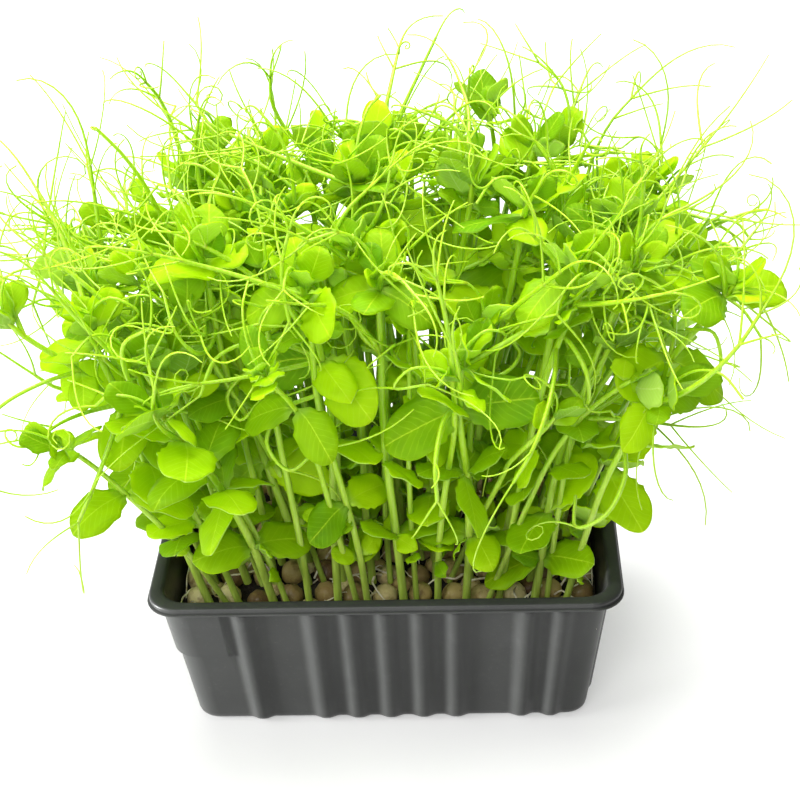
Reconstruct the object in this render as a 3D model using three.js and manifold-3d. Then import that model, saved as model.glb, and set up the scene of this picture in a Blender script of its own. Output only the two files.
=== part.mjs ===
// A tray of pea shoots: a fluted plastic tray, a block of dark peat, and leafy shoots that each
// grow from their own pea. Millimetres, +Z up, the front of the tray towards -Y.
// The origin is the middle of the tray's flat underside.
import * as THREE from "three";
import { mergeVertices } from "three/addons/utils/BufferGeometryUtils.js";
import Module from "manifold-3d";

// Driving dimensions of the tray.
const RIM_LENGTH = 150;
const RIM_DEPTH = 110;
const RIM_CORNER = 10;
const RIM_HEIGHT = 55;
const RIM_LEDGE = 4.2;
const LIP_DROP = 2.6;
const SHEET = 1.0;
const WALL_CORNER = 9;
const DRAFT = 7.2;
const DRAFT_MIDDLE_SHARE = 0.045;
const FOOT_ROUND = 3;
const FOOT_RISES = [0, 0.35, 1.2];
const FOOT_TUCKS = [1, 0.3, 0];
const FLUTE_RISE = 1.5;
const FLUTE_HALF = 4.1;
const FLUTE_CREST_HALF = 1.85;
const FRONT_FLUTES = [-45, -22.4, -11.2, 0, 11.2, 22.4, 45, 56];
const SIDE_FLUTES = [-33, -11.2, 0, 11.2, 33];
const LUG_WIDTH = 22;
const LUG_LOW = 37.5;
const LUG_RISE = 1.1;

// Driving dimensions of what grows in it.
const GAP = 0.35;
const PEAT_TOP = 38;
const SEEDS_ACROSS = 13;
const SEEDS_DEEP = 8;
const SEED_BASE = 2.4;
const SEED_RISE = 4;
const SEED_SHIFT = 0.9;
const CORNER_TUCK = 0.055;
const STEM_PIT = 0.6;
const STEM_FOOT = 41.15;
const LEAN_X = 46;
const LEAN_Y = 26;
const LEAN_GROWTH = 1.1;
const SHORTEST = 112;
const TALLEST = 154;
const EDGE_DROP = 16;
const STEM_FOOT_RADIUS = 1.4;
const STEM_TOP_RADIUS = 1;
const STALK_RADIUS = 0.95;
const STALK_STEPS = 4;
const TENDRIL_STEPS = 4;
const ROD_SIDES = 3;
const LOW_BLADE = 23;
const MIDDLE_BLADE = 25.5;
const TOP_BLADE = 20.5;
const BLADE_THICKNESS = 0.7;
const WAIST = 2.2;

// How close the growing parts may come, and how often each is drawn anew until it is clear.
const BEAD_STEP = 1.6;
const STEM_BEAD = 2;
const STALK_BEAD = 1.3;
const BLADE_BEAD = 1.9;
const BLADE_SPANS = [
  [0.12, -0.24, 0.14],
  [0.32, -0.42, 0.29],
  [0.52, -0.4, 0.29],
  [0.74, -0.36, 0.26],
  [0.95, -0.12, 0.08],
];
const WELD = 0.003;
const STEM_ATTEMPTS = 60;
const STALK_ATTEMPTS = 24;
const PAIR_ATTEMPTS = 30;

// The seeded draw that places every shoot, leaf and tendril.
const SEED = 377;
const DRAW_STEP = 1664525;
const DRAW_SHIFT = 1013904223;
const DRAW_SIZE = 4294967296;
let drawState = SEED;
function draw(low, high) {
  drawState = (drawState * DRAW_STEP + DRAW_SHIFT) % DRAW_SIZE;
  return low + ((high - low) * drawState) / DRAW_SIZE;
}

const wasm = await Module();
wasm.setup();

// A three.js geometry as a solid that can be joined and cut.
function solidOf(geometry) {
  const bare = geometry.index ? geometry.toNonIndexed() : geometry.clone();
  bare.deleteAttribute("normal");
  bare.deleteAttribute("uv");
  const merged = mergeVertices(bare, 1e-4);
  return new wasm.Manifold(
    new wasm.Mesh({
      numProp: 3,
      vertProperties: merged.attributes.position.array,
      triVerts: new Uint32Array(merged.index.array),
    }),
  );
}

// Joins the ends of every edge that is shorter than the weld distance, which cuts leave behind.
function weld(positions, corners) {
  const home = Uint32Array.from({ length: positions.length / 3 }, (_, i) => i);
  const find = (i) => {
    while (home[i] !== i) i = home[i];
    return i;
  };
  const a = new THREE.Vector3();
  const b = new THREE.Vector3();
  corners.forEach((corner, k) => {
    const next = corners[k % 3 === 2 ? k - 2 : k + 1];
    const apart = a.fromArray(positions, corner * 3).distanceTo(b.fromArray(positions, next * 3));
    if (apart < WELD) home[find(corner)] = find(next);
  });
  // Two triangles left on the same three corners lie back to back, so both go.
  const kept = new Map();
  for (let k = 0; k < corners.length; k += 3) {
    const triangle = [find(corners[k]), find(corners[k + 1]), find(corners[k + 2])];
    if (new Set(triangle).size < 3) continue;
    const key = [...triangle].sort((m, n) => m - n).join(" ");
    if (!kept.delete(key)) kept.set(key, triangle);
  }
  return [...kept.values()].flat();
}

// A solid as a named three.js mesh.
function meshOf(name, solid, material) {
  const made = solid.getMesh();
  const geometry = new THREE.BufferGeometry();
  geometry.setAttribute("position", new THREE.BufferAttribute(made.vertProperties, 3));
  geometry.setIndex(weld(made.vertProperties, made.triVerts));
  const mesh = new THREE.Mesh(geometry, material);
  geometry.computeVertexNormals();
  mesh.name = name;
  return mesh;
}

// Moves every vertex of a geometry by a rule.
function reshape(geometry, rule) {
  const position = geometry.getAttribute("position");
  const point = new THREE.Vector3();
  for (let i = 0; i < position.count; i++) {
    point.fromBufferAttribute(position, i);
    rule(point);
    position.setXYZ(i, point.x, point.y, point.z);
  }
  return geometry;
}

// The tray, seen from above: a rectangle with round corners and upright flutes along its sides.
function trayOutline(halfX, halfY, corner, rise) {
  const points = [];
  const sides = [
    { halfLength: halfX, distance: halfY, turn: 0, flutes: FRONT_FLUTES },
    { halfLength: halfY, distance: halfX, turn: Math.PI / 2, flutes: SIDE_FLUTES },
    { halfLength: halfX, distance: halfY, turn: Math.PI, flutes: FRONT_FLUTES },
    { halfLength: halfY, distance: halfX, turn: -Math.PI / 2, flutes: SIDE_FLUTES },
  ];
  for (const { halfLength, distance, turn, flutes } of sides) {
    const put = (along, out) => {
      const spot = new THREE.Vector2(along, -distance - out);
      points.push(spot.rotateAround(new THREE.Vector2(), turn));
    };
    const placed = rise > 0 ? flutes : [];
    for (const middle of placed) {
      put(middle - FLUTE_HALF, 0);
      put(middle - FLUTE_CREST_HALF, rise);
      put(middle + FLUTE_CREST_HALF, rise);
      put(middle + FLUTE_HALF, 0);
    }
    for (const angle of [0, 30, 60, 90]) {
      const a = THREE.MathUtils.degToRad(angle);
      put(halfLength - corner + corner * Math.sin(a), corner * Math.cos(a) - corner);
    }
  }
  return new THREE.Shape(points);
}

// The walls lean in by the draft from rim to base. The middle of each side hardly narrows, so that
// its flutes run almost straight down.
function leanIn(value, half, height) {
  const depth = 1 - height / RIM_HEIGHT;
  const outward = Math.min(1, Math.abs(value) / half) ** 3;
  return value * (1 - depth * (DRAFT_MIDDLE_SHARE + (DRAFT / half - DRAFT_MIDDLE_SHARE) * outward));
}

// A drafted block with the tray's outline, between two heights, with its lower edge rounded.
function trayBlock(inset, low, high, rise, roundness) {
  const halfX = RIM_LENGTH / 2 - RIM_LEDGE - inset;
  const halfY = RIM_DEPTH / 2 - RIM_LEDGE - inset;
  const shape = trayOutline(halfX, halfY, WALL_CORNER - inset, rise);
  const steps = roundness > 0 ? FOOT_TUCKS.length : 1;
  const block = new THREE.ExtrudeGeometry(shape, { depth: 1, steps, bevelEnabled: false });
  return reshape(block, (p) => {
    const level = Math.round(p.z * steps);
    let tuck = 0;
    let height = level === 0 ? low : high;
    if (roundness > 0 && level < steps) {
      tuck = roundness * FOOT_TUCKS[level];
      height = low + roundness * FOOT_RISES[level];
    }
    p.set(
      leanIn(p.x, halfX, height) * (1 - tuck / halfX),
      leanIn(p.y, halfY, height) * (1 - tuck / halfY),
      height,
    );
  });
}

// The flat rim and its turned-down lip, as a rectangle with round corners.
function rimPlate(inset, low, high) {
  const shape = trayOutline(RIM_LENGTH / 2 - inset, RIM_DEPTH / 2 - inset, RIM_CORNER - inset, 0);
  return new THREE.ExtrudeGeometry(shape, { depth: high - low, bevelEnabled: false }).translate(0, 0, low);
}

// At the front left corner and the one diagonally opposite, the wall steps out, so that trays
// stacked in each other don't jam.
function lug(turn) {
  const stepped = solidOf(trayBlock(-LUG_RISE, LUG_LOW, RIM_HEIGHT - SHEET, 0, 0));
  const corner = new THREE.BoxGeometry(LUG_WIDTH, LUG_WIDTH, RIM_HEIGHT);
  corner.translate(-RIM_LENGTH / 2 + RIM_LEDGE + LUG_WIDTH / 2 - 2, -RIM_DEPTH / 2 + RIM_LEDGE, LUG_LOW);
  return stepped.intersect(solidOf(corner.rotateZ(turn)));
}

function tray() {
  const lipInset = SHEET + 0.1;
  const outside = solidOf(trayBlock(0, 0, RIM_HEIGHT - SHEET / 2, FLUTE_RISE, FOOT_ROUND));
  const rim = solidOf(rimPlate(0, RIM_HEIGHT - LIP_DROP, RIM_HEIGHT)).subtract(
    solidOf(rimPlate(lipInset, RIM_HEIGHT - LIP_DROP - 1, RIM_HEIGHT - SHEET)),
  );
  const inside = solidOf(trayBlock(SHEET, SHEET, RIM_HEIGHT + 1, 0, 0));
  return outside.add(rim).add(lug(0)).add(lug(Math.PI)).subtract(inside);
}

// The block of peat fills the tray to a little below the bed of seeds.
function peat() {
  return solidOf(trayBlock(SHEET + GAP, SHEET + GAP, PEAT_TOP, 0, 0));
}

// A stem stands in every other hollow between four seeds.
function isStemSpot(i, j) {
  const inside = i > 0 && j > 0 && i < 2 * SEEDS_ACROSS && j < 2 * SEEDS_DEEP;
  return inside && i % 2 === 0 && j % 2 === 0 && (i / 2 + j / 2) % 2 === 0;
}

// A point of the seeds' top, on a grid with two cells a seed: crests where i and j are odd, and a
// plain pit where a stem stands.
function bedPoint(i, j) {
  const inset = RIM_LEDGE + SHEET + GAP;
  const halfX = leanIn(RIM_LENGTH / 2 - inset, RIM_LENGTH / 2 - inset, PEAT_TOP);
  const halfY = leanIn(RIM_DEPTH / 2 - inset, RIM_DEPTH / 2 - inset, PEAT_TOP);
  const shareX = i / SEEDS_ACROSS - 1;
  const shareY = j / SEEDS_DEEP - 1;
  const roundness = ((i % 2) + (j % 2)) / 2;
  const shift = Math.sin(i * 2.3 + j * 4.1);
  const tuck = 1 - CORNER_TUCK * (shareX * shareY) ** 6;
  const height = SEED_BASE + SEED_RISE * roundness * (1 + 0.12 * shift);
  return new THREE.Vector3(
    halfX * shareX * tuck + SEED_SHIFT * shift * (1 - shareX ** 4),
    halfY * shareY * tuck + SEED_SHIFT * Math.cos(i * 3.7 + j) * (1 - shareY ** 4),
    PEAT_TOP + GAP + (isStemSpot(i, j) ? STEM_PIT : height),
  );
}

// The bed of sprouted seeds: one layer of round seeds pressed together, as a relief on a slab.
function seedBed() {
  const columns = 2 * SEEDS_ACROSS;
  const rows = 2 * SEEDS_DEEP;
  const relief = new THREE.BoxGeometry(columns, rows, 2, columns, rows, 1);
  reshape(relief, (p) => {
    const isTop = p.z > 0;
    p.copy(bedPoint(Math.round(p.x + columns / 2), Math.round(p.y + rows / 2)));
    if (!isTop) p.z = PEAT_TOP - SEED_BASE;
  });
  const above = new THREE.BoxGeometry(RIM_LENGTH, RIM_DEPTH, RIM_HEIGHT);
  above.translate(0, 0, PEAT_TOP + GAP + RIM_HEIGHT / 2);
  return solidOf(relief).intersect(solidOf(above));
}

// Beads are points with a radius. They stand for what has been placed, and keep the shoots clear of
// each other. A near bead lies so close to its own stem that only other shoots keep clear of it.
const beads = [];
function isClear(candidate, owner) {
  for (const bead of candidate) {
    for (const other of beads) {
      if (other.owner === owner && (bead.near || other.near)) continue;
      const reach = bead.radius + other.radius;
      const dx = bead.x - other.x;
      const dy = bead.y - other.y;
      const dz = bead.z - other.z;
      if (dx * dx + dy * dy + dz * dz < reach * reach) return false;
    }
  }
  return true;
}

function place(candidate, owner) {
  for (const bead of candidate) beads.push({ ...bead, owner });
}

// Beads along a line of ring centres. The first few may be near ones.
function lineBeads(rings, radius, nearShare) {
  const made = [];
  for (let i = 1; i < rings.length; i++) {
    const count = Math.ceil(rings[i].distanceTo(rings[i - 1]) / BEAD_STEP);
    for (let k = 1; k <= count; k++) {
      const { x, y, z } = new THREE.Vector3().lerpVectors(rings[i - 1], rings[i], k / count);
      made.push({ x, y, z, radius, near: i - 1 + k / count <= nearShare });
    }
  }
  return made;
}

// A unit direction from its compass heading and its climb above level, in radians.
function direction(heading, climb) {
  const level = Math.cos(climb);
  return new THREE.Vector3(Math.cos(heading) * level, Math.sin(heading) * level, Math.sin(climb));
}

// The middle line of a stem at a share t of its height. It leaves the seed upright, then leans.
function stemPoint(shoot, t) {
  const spread = t ** LEAN_GROWTH;
  const swayX = Math.sin(t * 5.2 + shoot.phase) - Math.sin(shoot.phase);
  const swayY = Math.cos(t * 4.4 + shoot.phase) - Math.cos(shoot.phase);
  return new THREE.Vector3(
    shoot.x + shoot.leanX * spread + shoot.sway * t * swayX,
    shoot.y + shoot.leanY * spread + shoot.sway * t * swayY,
    STEM_FOOT + shoot.height * t * (1 - shoot.droop * t * t),
  );
}

// Ring centres of a tendril: it sets off in a direction and curls ever more tightly about an axis.
function curlRings(start, along, axis, length, curl, steps) {
  const rings = [];
  const heading = along.clone();
  const point = start.clone();
  for (let i = 1; i <= steps; i++) {
    heading.applyAxisAngle(axis, (curl * (2 * i - 1)) / (steps * steps));
    point.addScaledVector(heading, length / steps);
    rings.push(point.clone());
  }
  return rings;
}

// A stem with its rings: at its foot, at and between its joints, and on in the tendril at its tip.
function makeShoot(spot, homeX, homeY) {
  const spread = draw(0.6, 1.1);
  const shoot = {
    x: spot.x,
    y: spot.y,
    leanX: LEAN_X * homeX * spread + draw(-9, 9),
    leanY: LEAN_Y * homeY * spread + draw(-8, 8),
    height: draw(SHORTEST, TALLEST) - EDGE_DROP * homeX * homeX,
    droop: 0.22 * spread * Math.max(Math.abs(homeX), Math.abs(homeY)),
    sway: draw(1.5, 4.5),
    phase: draw(0, 2 * Math.PI),
    pairs: [],
  };
  const low = draw(0.3, 0.5);
  const stalk = draw(0.66, 0.76);
  const top = draw(0.88, 0.96);
  shoot.stemRings = [0, low / 2, low, (low + stalk) / 2, stalk, top].map((t) => stemPoint(shoot, t));
  shoot.outwards = Math.atan2(shoot.leanY, shoot.leanX);
  const [, , , , under, end] = shoot.stemRings;
  const along = new THREE.Vector3().subVectors(end, under).normalize();
  const axis = direction(draw(0, 2 * Math.PI), 0).projectOnPlane(along).normalize();
  shoot.tip = curlRings(end, along, axis, draw(24, 40), draw(1, 4.6), TENDRIL_STEPS);
  return shoot;
}

// Draws the shoots, row by row from the front. Outer ones lean further outwards.
function drawShoots() {
  const shoots = [];
  for (let j = 2; j < 2 * SEEDS_DEEP; j += 2) {
    for (let i = 2; i < 2 * SEEDS_ACROSS; i += 2) {
      if (!isStemSpot(i, j)) continue;
      const spot = bedPoint(i, j);
      let shoot = null;
      let candidate = null;
      for (let attempt = 0; attempt < STEM_ATTEMPTS; attempt++) {
        shoot = makeShoot(spot, i / SEEDS_ACROSS - 1, j / SEEDS_DEEP - 1);
        candidate = lineBeads([...shoot.stemRings, ...shoot.tip], STEM_BEAD, 0);
        if (isClear(candidate, shoots.length)) break;
      }
      place(candidate, shoots.length);
      shoots.push(shoot);
    }
  }
  return shoots;
}

// Draws a leaf stalk for each shoot. It ends in a tendril.
function drawStalks(shoots) {
  shoots.forEach((shoot, owner) => {
    const root = shoot.stemRings[4];
    for (let attempt = 0; attempt < STALK_ATTEMPTS; attempt++) {
      const heading = shoot.outwards + draw(-1.3, 1.3) * (1 + 0.08 * attempt);
      const along = direction(heading, draw(-0.3, 0.8));
      const axis = direction(heading + Math.PI / 2, draw(-0.8, 0.8)).projectOnPlane(along).normalize();
      const length = draw(34, 52) * (1 - 0.02 * attempt);
      const rings = [root, ...curlRings(root, along, axis, length, draw(-4.4, 4.4), STALK_STEPS)];
      const candidate = lineBeads(rings, STALK_BEAD, 1);
      if (!isClear(candidate, owner)) continue;
      place(candidate, owner);
      shoot.stalk = rings;
      break;
    }
  });
}

// Half of the outline of a pair of clasping blades, as shares of a blade's length: along the blade
// from the stem, then across it. Each is a lopsided half heart.
const BLADE = [
  [0.12, -0.22],
  [0.34, -0.43],
  [0.86, -0.31],
  [0.99, 0.06],
  [0.5, 0.3],
];

// A point of a blade in the plane of its pair, where x is forwards from the stem and y sideways.
function sweptPoint(pair, along, across) {
  const out = new THREE.Vector2(along, -across).multiplyScalar(pair.length);
  out.rotateAround(new THREE.Vector2(), Math.PI / 2 - pair.sweep);
  out.y += WAIST / 2;
  return out;
}

// The outline of the pair: down one side from the back to the front, and back up the other.
function pairOutline(pair) {
  const half = BLADE.map(([along, across]) => sweptPoint(pair, along, across));
  const mirrored = half.map((p) => new THREE.Vector2(p.x, -p.y));
  return [new THREE.Vector2(-WAIST, 0), ...mirrored, new THREE.Vector2(WAIST, 0), ...half.reverse()];
}

// Where a point of a pair goes: folded along its middle, with its tips bent down.
function pairPoint(pair, x, y, lift) {
  const rise = pair.cup * Math.abs(y) - (pair.bend * (x * x + y * y)) / pair.length + lift;
  return new THREE.Vector3()
    .copy(pair.root)
    .addScaledVector(pair.forward, x)
    .addScaledVector(pair.side, y)
    .addScaledVector(pair.normal, rise);
}

function pairBeads(pair) {
  const made = [];
  for (const hand of [1, -1]) {
    for (const [along, low, high] of BLADE_SPANS) {
      for (let k = 0; k <= 4; k++) {
        const spot = sweptPoint(pair, along, low + ((high - low) * k) / 4);
        const { x, y, z } = pairPoint(pair, spot.x, hand * spot.y, 0);
        made.push({ x, y, z, radius: BLADE_BEAD, near: along < 0.2 });
      }
    }
  }
  return made;
}

// Draws a pair of blades at a joint, on the side that faces outwards. It is tried at several angles,
// a little smaller each time, and left out where there is no room.
function drawPair(shoot, owner, root, longest) {
  for (let attempt = 0; attempt < PAIR_ATTEMPTS; attempt++) {
    const heading = shoot.outwards + draw(-1.5, 1.5) * (1 + 0.05 * attempt);
    const forward = direction(heading, draw(-0.95, 0.4));
    const level = direction(heading + Math.PI / 2, 0);
    const up = new THREE.Vector3().crossVectors(forward, level);
    const roll = draw(-0.5, 0.5);
    const side = level.multiplyScalar(Math.cos(roll)).addScaledVector(up, Math.sin(roll));
    const pair = {
      root,
      forward,
      side,
      normal: new THREE.Vector3().crossVectors(forward, side),
      length: longest * draw(0.85, 1) * (1 - 0.018 * attempt),
      sweep: draw(0.1, 0.7),
      cup: draw(0, 0.5),
      bend: draw(0, 0.35),
    };
    const candidate = pairBeads(pair);
    if (!isClear(candidate, owner)) continue;
    place(candidate, owner);
    shoot.pairs.push(pair);
    return;
  }
}

// The joints where the stalks leave get their pairs first, then the tops, then the low joints.
function drawPairs(shoots) {
  shoots.forEach((shoot, owner) => drawPair(shoot, owner, shoot.stemRings[4], MIDDLE_BLADE));
  shoots.forEach((shoot, owner) => drawPair(shoot, owner, shoot.stemRings[5], TOP_BLADE));
  shoots.forEach((shoot, owner) => drawPair(shoot, owner, shoot.stemRings[2], LOW_BLADE));
}

// A tapering rod through ring centres: a straight cylinder, bent.
function bentRod(rings, radiusAt) {
  const steps = rings.length - 1;
  const straight = new THREE.CylinderGeometry(1, 1, 1, ROD_SIDES, steps);
  const frames = [];
  const across = new THREE.Vector3(0.6, 0.8, 0);
  rings.forEach((middle, i) => {
    const before = rings[Math.max(0, i - 1)];
    const after = rings[Math.min(steps, i + 1)];
    const along = new THREE.Vector3().subVectors(after, before).normalize();
    across.projectOnPlane(along).normalize();
    frames.push({ middle, across: across.clone(), third: new THREE.Vector3().crossVectors(across, along) });
  });
  return reshape(straight, (p) => {
    const step = Math.round((p.y + 0.5) * steps);
    const frame = frames[step];
    const radius = radiusAt(step);
    const { x, z } = p;
    p.copy(frame.middle);
    p.addScaledVector(frame.across, x * radius);
    p.addScaledVector(frame.third, z * radius);
  });
}

// A pair of blades as one thin closed plate that its stem passes through.
function pairPlate(pair) {
  const plate = new THREE.ExtrudeGeometry(new THREE.Shape(pairOutline(pair)), {
    depth: BLADE_THICKNESS,
    bevelEnabled: false,
  });
  return reshape(plate, (p) => p.copy(pairPoint(pair, p.x, p.y, p.z - BLADE_THICKNESS / 2)));
}

// One shoot with its blades and stalk grown together in one body. A loose scrap is dropped.
function shootSolid(shoot) {
  const stemSteps = shoot.stemRings.length - 1;
  const stemRadius = (step) => {
    const tip = Math.max(0, step - stemSteps) / TENDRIL_STEPS;
    const stem = Math.min(step, stemSteps) / stemSteps;
    return THREE.MathUtils.lerp(STEM_FOOT_RADIUS, STEM_TOP_RADIUS, stem) - (STEM_TOP_RADIUS - 0.5) * tip;
  };
  let whole = solidOf(bentRod([...shoot.stemRings, ...shoot.tip], stemRadius));
  if (shoot.stalk) {
    const stalkRadius = (step) => STALK_RADIUS - (0.35 * step) / STALK_STEPS;
    whole = whole.add(solidOf(bentRod(shoot.stalk, stalkRadius)));
  }
  for (const pair of shoot.pairs) whole = whole.add(solidOf(pairPlate(pair)));
  const bySize = whole.decompose().sort((a, b) => b.volume() - a.volume());
  return bySize[0];
}

const trayPlastic = new THREE.MeshStandardMaterial({ color: 0x4a4b4a, roughness: 0.42, metalness: 0 });
const darkPeat = new THREE.MeshStandardMaterial({ color: 0x17120e, roughness: 0.95, metalness: 0 });
const seedCoat = new THREE.MeshStandardMaterial({ color: 0xb9a878, roughness: 0.7, metalness: 0 });
const leafGreen = new THREE.MeshStandardMaterial({ color: 0x7cc010, roughness: 0.5, metalness: 0 });

const shoots = drawShoots();
drawStalks(shoots);
drawPairs(shoots);

const part = new THREE.Group();
part.add(meshOf("tray", tray(), trayPlastic));
part.add(meshOf("peat", peat(), darkPeat));
part.add(meshOf("seed_bed", seedBed(), seedCoat));
shoots.forEach((shoot, i) => {
  part.add(meshOf("shoot_" + String(i + 1).padStart(2, "0"), shootSolid(shoot), leafGreen));
});

export default part;
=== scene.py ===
# A tray of pea shoots for the studio: the tray, its peat, the sprouted peas and everything green.
# Sizes are in millimetres, with the front of the tray towards -Y, and each mesh ends up in metres.
import math
import random

import bmesh
import bpy
import numpy as np
from mathutils import Euler, Matrix, Vector, noise


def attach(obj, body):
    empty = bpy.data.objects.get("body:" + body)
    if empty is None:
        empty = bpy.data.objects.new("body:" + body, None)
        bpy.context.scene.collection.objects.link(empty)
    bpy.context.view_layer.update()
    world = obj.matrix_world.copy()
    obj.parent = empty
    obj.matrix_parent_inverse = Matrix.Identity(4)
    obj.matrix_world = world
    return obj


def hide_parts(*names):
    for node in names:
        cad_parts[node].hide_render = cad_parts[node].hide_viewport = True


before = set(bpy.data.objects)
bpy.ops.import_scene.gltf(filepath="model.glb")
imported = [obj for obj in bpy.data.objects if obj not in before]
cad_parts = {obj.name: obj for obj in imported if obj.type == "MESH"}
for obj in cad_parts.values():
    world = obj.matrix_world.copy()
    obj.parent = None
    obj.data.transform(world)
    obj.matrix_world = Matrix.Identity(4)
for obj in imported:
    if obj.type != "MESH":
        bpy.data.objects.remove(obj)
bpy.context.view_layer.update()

# Camera
# It stands in front of the tray and a little to its right, and looks down on it through a short
# telephoto lens, turned slightly clockwise.
METRES = 0.001
CAMERA_CLIMB = math.radians(32)
CAMERA_TURN = math.radians(3.08)
CAMERA_ROLL = math.radians(-2.77)
CAMERA_DISTANCE = 511.1
CAMERA_AIM = (8.33, 0, 75.4)
CAMERA_LENS = 80.6
FRONT_OF_RIM = (0, -55, 55)

camera_data = bpy.data.cameras.new("camera")
camera_data.lens = CAMERA_LENS
camera = bpy.data.objects.new("camera", camera_data)
bpy.context.scene.collection.objects.link(camera)
camera.matrix_world = (
    Matrix.Translation(Vector(FRONT_OF_RIM) * METRES)
    @ Matrix.Rotation(CAMERA_TURN, 4, "Z")
    @ Matrix.Translation(Vector(CAMERA_AIM) * METRES)
    @ Matrix.Rotation(math.pi / 2 - CAMERA_CLIMB, 4, "X")
    @ Matrix.Rotation(CAMERA_ROLL, 4, "Z")
    @ Matrix.Translation((0, 0, CAMERA_DISTANCE * METRES))
)
bpy.context.scene.camera = camera
bpy.context.scene.view_settings.view_transform = "Standard"


# Light
# A soft white room. A large lamp above shines down through the leaves, and weak ones at the left and
# in front lift the shadows. A low lamp rakes across the flutes, and lights the tray alone.
ROOM_STRENGTH = 0.42
LAMPS = [
    ("ceiling_lamp", (-50, 260, 1150), 850, 29.0),
    ("side_lamp", (-900, -300, 480), 420, 7.0),
    ("front_lamp", (-160, -820, 760), 600, 6.0),
    ("low_lamp", (-900, -240, 110), 260, 42.0),
]
LAMPS_AIM = Vector((0, 0, 100))

room = bpy.data.worlds.new("room")
room.use_nodes = True
room.node_tree.nodes["Background"].inputs["Color"].default_value = (1, 1, 1, 1)
room.node_tree.nodes["Background"].inputs["Strength"].default_value = ROOM_STRENGTH
bpy.context.scene.world = room
for name, place, size, power in LAMPS:
    lamp = bpy.data.lights.new(name, "AREA")
    lamp.size = size * METRES
    lamp.energy = power
    lamp_object = bpy.data.objects.new(name, lamp)
    bpy.context.scene.collection.objects.link(lamp_object)
    lamp_object.location = Vector(place) * METRES
    aim = LAMPS_AIM - Vector(place)
    lamp_object.rotation_euler = aim.to_track_quat("-Z", "Y").to_euler()
low_lit = bpy.data.collections.new("low_lit")
bpy.data.objects["low_lamp"].light_linking.receiver_collection = low_lit


# Floor
# A wide white sheet that the tray stands on, and that glows a little. It isn't part of the tray.
FLOOR_SIZE = 6000
FLOOR_DROP = 0.05
FLOOR_GLOW = 0.34


class Wire:
    """An output of a material's nodes. Sums and products of wires add Math nodes."""

    def __init__(self, finish, socket):
        self.finish = finish
        self.socket = socket

    def math(self, operation, first, second=0.5, third=0.5):
        sockets = {0: first, 1: second, 2: third}
        return self.finish.node("Math", {"operation": operation}, sockets)

    def __add__(self, other):
        return self.math("ADD", self, other)

    def __radd__(self, other):
        return self.math("ADD", other, self)

    def __sub__(self, other):
        return self.math("SUBTRACT", self, other)

    def __rsub__(self, other):
        return self.math("SUBTRACT", other, self)

    def __mul__(self, other):
        return self.math("MULTIPLY", self, other)

    def __rmul__(self, other):
        return self.math("MULTIPLY", other, self)

    def __abs__(self):
        return self.math("ABSOLUTE", self)

    def clamped(self):
        return self.math("MINIMUM", self.math("MAXIMUM", self, 0), 1)

    def ramp(self, low, high):
        """0 below low, 1 above high, and smooth between."""
        settings = {"interpolation_type": "SMOOTHSTEP"}
        sockets = {"Value": self, "From Min": low, "From Max": high}
        return self.finish.node("MapRange", settings, sockets)


class Finish:
    """A material, made node by node."""

    def __init__(self, name):
        self.material = bpy.data.materials.new(name)
        self.material.use_nodes = True
        self.tree = self.material.node_tree
        self.tree.nodes.clear()

    def node(self, kind, settings, sockets, output=0):
        made = self.tree.nodes.new("ShaderNode" + kind)
        for name, value in settings.items():
            setattr(made, name, value)
        for name, value in sockets.items():
            if isinstance(value, Wire):
                self.tree.links.new(value.socket, made.inputs[name])
            else:
                made.inputs[name].default_value = value
        return Wire(self, made.outputs[output]) if made.outputs else None

    def place(self):
        return self.node("TexCoord", {}, {}, "Object")

    def speckle(self, place, scale, detail=2.0, roughness=0.5):
        sockets = {"Vector": place, "Scale": scale, "Detail": detail, "Roughness": roughness}
        return self.node("TexNoise", {}, sockets)

    def blend(self, share, first, second):
        """A colour between two colours."""
        sockets = {0: share, 6: first, 7: second}
        return self.node("Mix", {"data_type": "RGBA", "clamp_factor": True}, sockets, 2)

    def bump(self, height, strength, distance):
        sockets = {"Height": height, "Strength": strength, "Distance": distance * METRES}
        return self.node("Bump", {}, sockets)

    def surface(self, sockets):
        return self.node("BsdfPrincipled", {}, sockets)

    def done(self, shader):
        self.node("OutputMaterial", {}, {"Surface": shader})
        return self.material


def colour(red, green, blue):
    """A colour as it looks on a screen, from 0 to 255, as the linear values that nodes take."""
    linear = [((value / 255 + 0.055) / 1.055) ** 2.4 for value in (red, green, blue)]
    return (*linear, 1)


def floor_finish():
    finish = Finish("white_sheet")
    shade = finish.speckle(finish.place(), 3)
    sheet = finish.blend(shade, colour(196, 196, 195), colour(202, 202, 201))
    return finish.done(finish.surface({
        "Base Color": sheet,
        "Roughness": 0.9,
        "Emission Color": (1, 1, 1, 1),
        "Emission Strength": FLOOR_GLOW,
    }))


def show(name, shape, materials):
    """A bmesh in millimetres as an object in metres."""
    mesh = bpy.data.meshes.new(name)
    shape.to_mesh(mesh)
    shape.free()
    mesh.transform(Matrix.Scale(METRES, 4))
    for material in materials:
        mesh.materials.append(material)
    piece = bpy.data.objects.new(name, mesh)
    bpy.context.scene.collection.objects.link(piece)
    return piece


floor_sheet = bmesh.new()
bmesh.ops.create_grid(floor_sheet, x_segments=1, y_segments=1, size=FLOOR_SIZE / 2)
bmesh.ops.translate(floor_sheet, verts=floor_sheet.verts, vec=(0, 0, -FLOOR_DROP))
show("floor", floor_sheet, [floor_finish()])


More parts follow.
